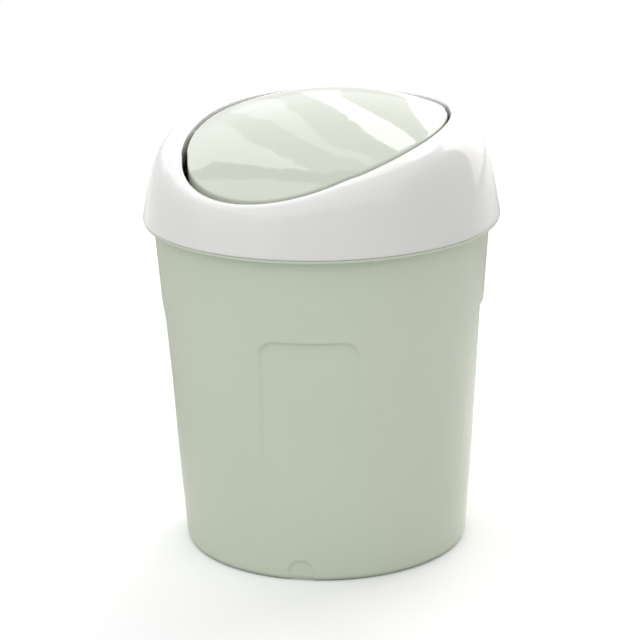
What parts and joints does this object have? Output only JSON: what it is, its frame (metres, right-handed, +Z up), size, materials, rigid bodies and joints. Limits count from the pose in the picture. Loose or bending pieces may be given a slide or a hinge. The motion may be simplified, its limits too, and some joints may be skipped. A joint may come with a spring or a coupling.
{
  "type": "countertop trash can with swing lid",
  "caption": "Small round tapered bin with a lift-off slanted domed lid whose bowed flap rocks on two pivots and closes by its own weight.",
  "frame": {"origin": "middle of the round foot, on the table", "axes": "+Z up, -Y to the front where the lid's opening slants down, X along the flap's pivots"},
  "size_m": [0.1298, 0.1298, 0.1648],
  "materials": {
    "bucket": "gloss moulded polypropylene, light sage green",
    "collar": "satin moulded polypropylene, milk white",
    "flap": "high gloss moulded polypropylene, light sage green"
  },
  "bodies": {
    "bucket": {"bucket": "bucket"},
    "lid": {"collar": "collar"},
    "swing_flap": {"flap": "flap"}
  },
  "joints": [
    {"name": "lid_lift", "type": "slide", "parent": "bucket", "child": "lid", "axis": [0, 0, 1], "range_m": [0, 0.06]},
    {"name": "flap_swing", "type": "hinge", "parent": "lid", "child": "swing_flap", "pos_m": [0, -0.0155, 0.14993], "axis": [1, 0, 0], "range_deg": [0, 60]}
  ]
}
